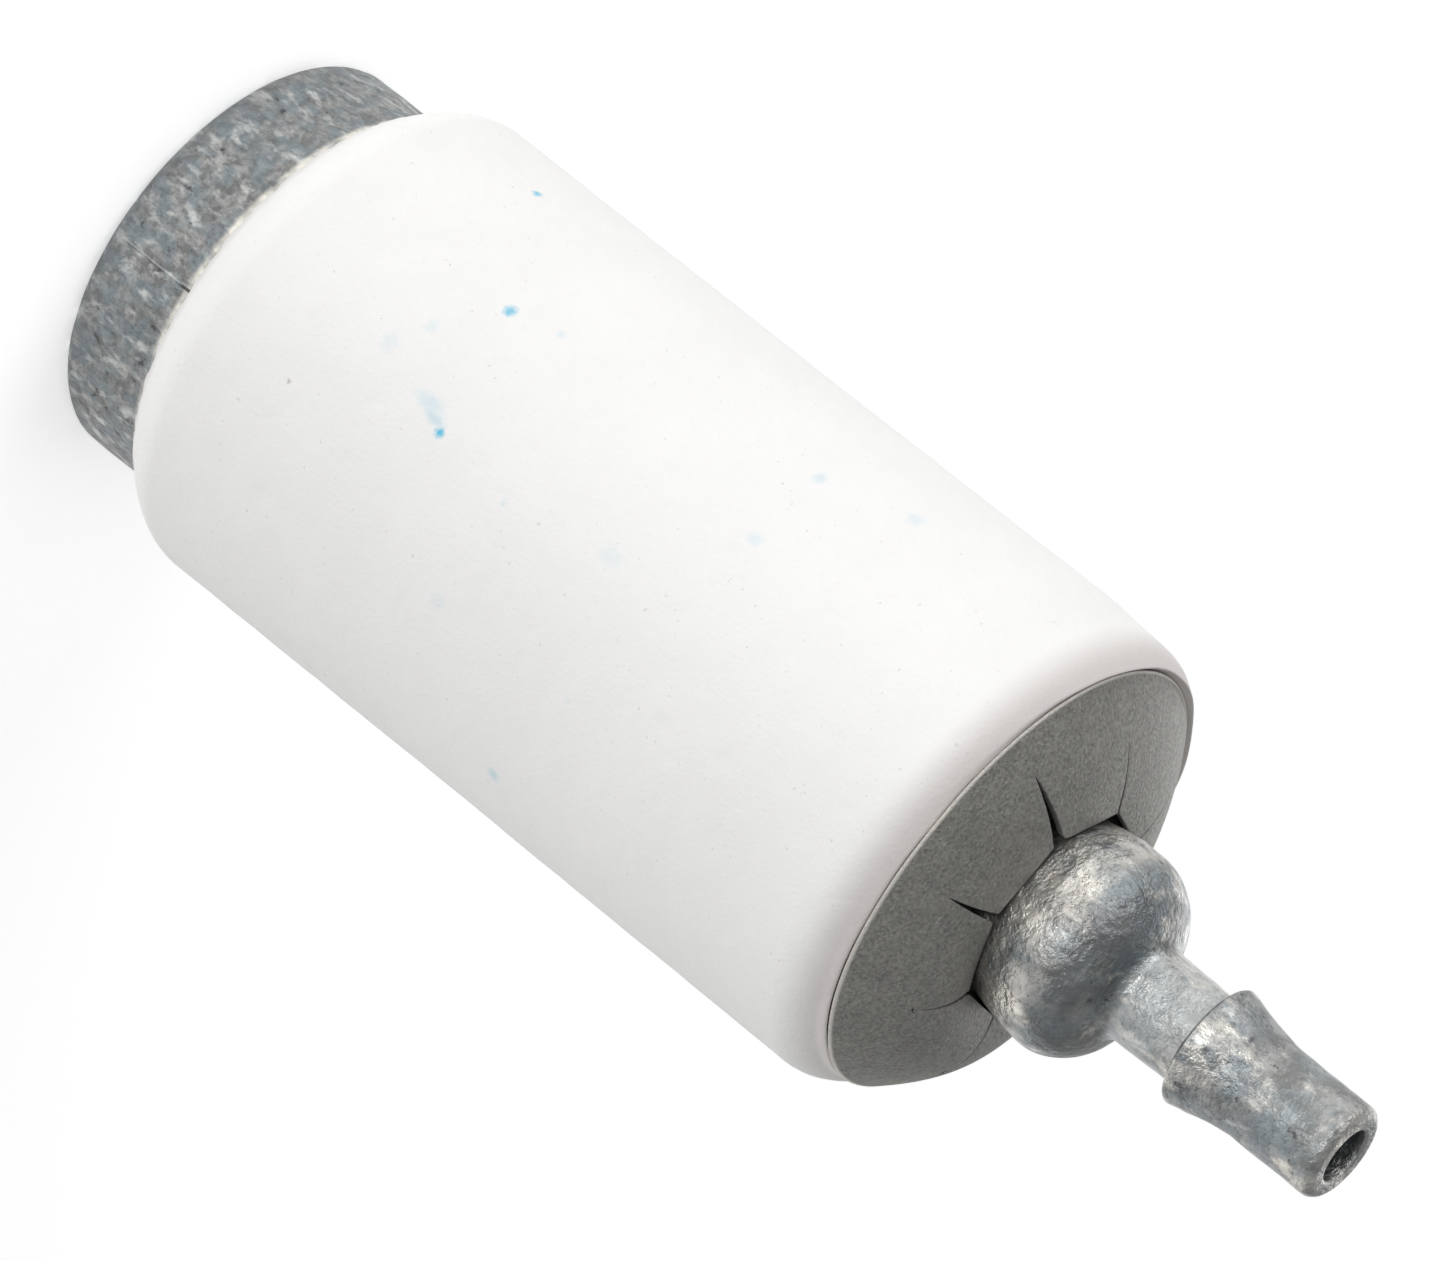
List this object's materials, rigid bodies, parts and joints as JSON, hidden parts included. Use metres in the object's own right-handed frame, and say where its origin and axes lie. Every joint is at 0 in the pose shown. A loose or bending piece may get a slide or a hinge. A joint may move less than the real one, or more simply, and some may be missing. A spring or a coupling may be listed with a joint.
{
  "type": "fuel filter",
  "caption": "In-tank fuel pick-up filter: weighted foot, porous sleeve, dished slit retaining washer and a domed outlet fitting with a single hose barb.",
  "frame": {"origin": "centre of the weight's flat end, which the filter stands on", "axes": "+Z along the filter's axis, from the weight towards the hose barb; the washer's wide slit faces -Y and a little -X"},
  "size_m": [0.0162, 0.0162, 0.0444],
  "materials": {
    "weight_zinc": "mottled grey die-cast zinc",
    "porous_plastic": "white sintered porous plastic with sparse blue flecks",
    "washer_steel": "dull grey spring steel",
    "fitting_zinc": "mottled grey die-cast zinc with worn bright edges",
    "stem_steel": "plain drawn tube",
    "cage_plastic": "natural nylon",
    "screen_steel": "woven mesh",
    "seal_rubber": "black fuel-proof rubber"
  },
  "bodies": {
    "root": {"end_weight": "weight_zinc", "filter_sleeve": "porous_plastic", "retaining_washer": "washer_steel", "outlet_fitting": "fitting_zinc", "core_stem": "stem_steel", "support_cage": "cage_plastic", "inner_screen": "screen_steel", "weight_seal": "seal_rubber", "outlet_seal": "seal_rubber"}
  },
  "joints": []
}
